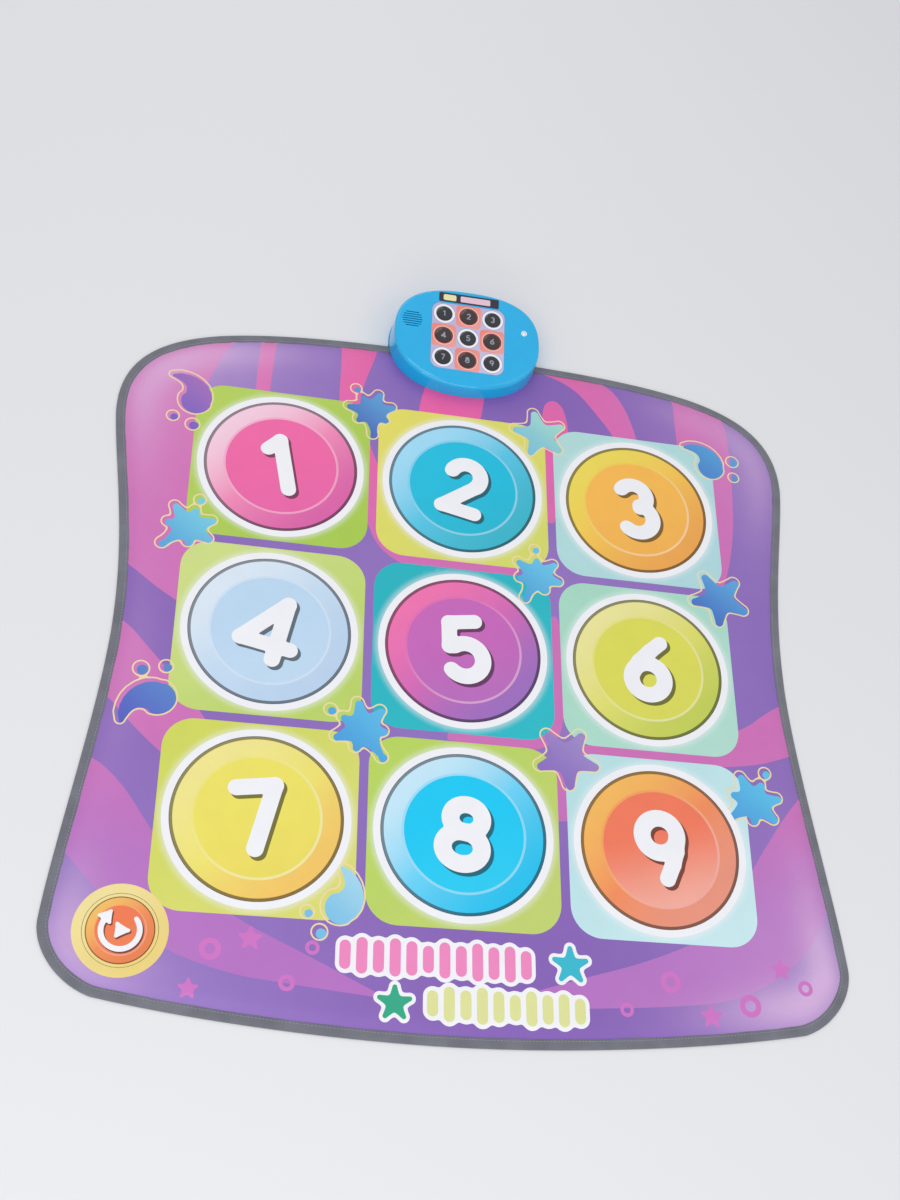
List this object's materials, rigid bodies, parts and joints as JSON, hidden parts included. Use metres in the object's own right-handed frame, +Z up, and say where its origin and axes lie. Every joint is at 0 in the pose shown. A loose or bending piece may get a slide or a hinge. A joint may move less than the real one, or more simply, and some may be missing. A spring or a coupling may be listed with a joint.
{
  "type": "electronic dance mat",
  "caption": "Padded floor mat with a grid of round number pads, a start pad and a battery console that lights the number to step on.",
  "frame": {"origin": "on the floor, under the centre of the middle pad", "axes": "+Y from the mat to its console, +Z up"},
  "size_m": [0.926, 1.019, 0.0492],
  "materials": {
    "cover_vinyl": "satin printed vinyl",
    "backing": "non-woven, matte",
    "binding": "woven tape, matte",
    "foam": "soft foam",
    "film": "clear polyester film",
    "contact_ink": "carbon ink",
    "shell": "glossy moulded plastic",
    "base": "satin moulded plastic",
    "label": "printed label",
    "name_strip": "bare dark plate",
    "window": "smoked clear plastic",
    "lamp": "clear lens",
    "board": "solder mask",
    "dark_plastic": "moulded",
    "steel": "zinc plated",
    "cell": "printed sleeve",
    "pad_1": "satin printed vinyl",
    "pad_2": "satin printed vinyl",
    "pad_3": "satin printed vinyl",
    "pad_4": "satin printed vinyl",
    "pad_5": "satin printed vinyl",
    "pad_6": "satin printed vinyl",
    "pad_7": "satin printed vinyl",
    "pad_8": "satin printed vinyl",
    "pad_9": "satin printed vinyl",
    "start_pad": "satin printed vinyl"
  },
  "bodies": {
    "mat": {"backing_sheet": "backing", "cushion_foam": "foam", "lower_circuit_film": "film", "pad_spacer": "foam", "upper_circuit_film": "film", "top_cover": "cover_vinyl", "edge_binding": "binding", "console_top_shell": "shell", "console_base": "base", "number_label": "label", "name_strip": "name_strip", "power_light": "lamp", "loudspeaker": "dark_plastic", "power_switch_body": "dark_plastic", "main_board": "board", "ribbon_tail": "film", "battery_contact_left": "steel", "battery_contact_right": "steel", "number_window_1": "window", "number_window_2": "window", "number_window_3": "window", "number_window_4": "window", "number_window_5": "window", "number_window_6": "window", "number_window_7": "window", "number_window_8": "window", "number_window_9": "window", "case_screw_1": "steel", "case_screw_2": "steel", "case_screw_3": "steel", "case_screw_4": "steel", "battery_1": "cell", "battery_2": "cell", "battery_3": "cell"},
    "pad_1": {"pad_1_face": "pad_1", "pad_1_contact": "contact_ink"},
    "pad_2": {"pad_2_face": "pad_2", "pad_2_contact": "contact_ink"},
    "pad_3": {"pad_3_face": "pad_3", "pad_3_contact": "contact_ink"},
    "pad_4": {"pad_4_face": "pad_4", "pad_4_contact": "contact_ink"},
    "pad_5": {"pad_5_face": "pad_5", "pad_5_contact": "contact_ink"},
    "pad_6": {"pad_6_face": "pad_6", "pad_6_contact": "contact_ink"},
    "pad_7": {"pad_7_face": "pad_7", "pad_7_contact": "contact_ink"},
    "pad_8": {"pad_8_face": "pad_8", "pad_8_contact": "contact_ink"},
    "pad_9": {"pad_9_face": "pad_9", "pad_9_contact": "contact_ink"},
    "start_pad": {"start_pad_face": "start_pad", "start_pad_contact": "contact_ink"},
    "battery_door": {"battery_door": "base", "battery_door_screw": "steel"},
    "power_switch": {"power_switch_knob": "dark_plastic"}
  },
  "joints": [
    {"name": "pad_1_press", "type": "slide", "parent": "mat", "child": "pad_1", "axis": [0, 0, -1], "range_m": [0, 0.0012], "stiffness_N_per_m": 4000, "springref_m": -0.0005},
    {"name": "pad_2_press", "type": "slide", "parent": "mat", "child": "pad_2", "axis": [0, 0, -1], "range_m": [0, 0.0012], "stiffness_N_per_m": 4000, "springref_m": -0.0005},
    {"name": "pad_3_press", "type": "slide", "parent": "mat", "child": "pad_3", "axis": [0, 0, -1], "range_m": [0, 0.0012], "stiffness_N_per_m": 4000, "springref_m": -0.0005},
    {"name": "pad_4_press", "type": "slide", "parent": "mat", "child": "pad_4", "axis": [0, 0, -1], "range_m": [0, 0.0012], "stiffness_N_per_m": 4000, "springref_m": -0.0005},
    {"name": "pad_5_press", "type": "slide", "parent": "mat", "child": "pad_5", "axis": [0, 0, -1], "range_m": [0, 0.0012], "stiffness_N_per_m": 4000, "springref_m": -0.0005},
    {"name": "pad_6_press", "type": "slide", "parent": "mat", "child": "pad_6", "axis": [0, 0, -1], "range_m": [0, 0.0012], "stiffness_N_per_m": 4000, "springref_m": -0.0005},
    {"name": "pad_7_press", "type": "slide", "parent": "mat", "child": "pad_7", "axis": [0, 0, -1], "range_m": [0, 0.0012], "stiffness_N_per_m": 4000, "springref_m": -0.0005},
    {"name": "pad_8_press", "type": "slide", "parent": "mat", "child": "pad_8", "axis": [0, 0, -1], "range_m": [0, 0.0012], "stiffness_N_per_m": 4000, "springref_m": -0.0005},
    {"name": "pad_9_press", "type": "slide", "parent": "mat", "child": "pad_9", "axis": [0, 0, -1], "range_m": [0, 0.0012], "stiffness_N_per_m": 4000, "springref_m": -0.0005},
    {"name": "start_pad_press", "type": "slide", "parent": "mat", "child": "start_pad", "axis": [0, 0, -1], "range_m": [0, 0.0012], "stiffness_N_per_m": 4000, "springref_m": -0.0005},
    {"name": "battery_door_hinge", "type": "hinge", "parent": "mat", "child": "battery_door", "pos_m": [0, 0.47765, 0.0004], "axis": [-1, 0, 0], "range_deg": [0, 100]},
    {"name": "power_switch_slide", "type": "slide", "parent": "mat", "child": "power_switch", "axis": [0, 0.9894, 0.1451], "range_m": [0, 0.006]}
  ]
}
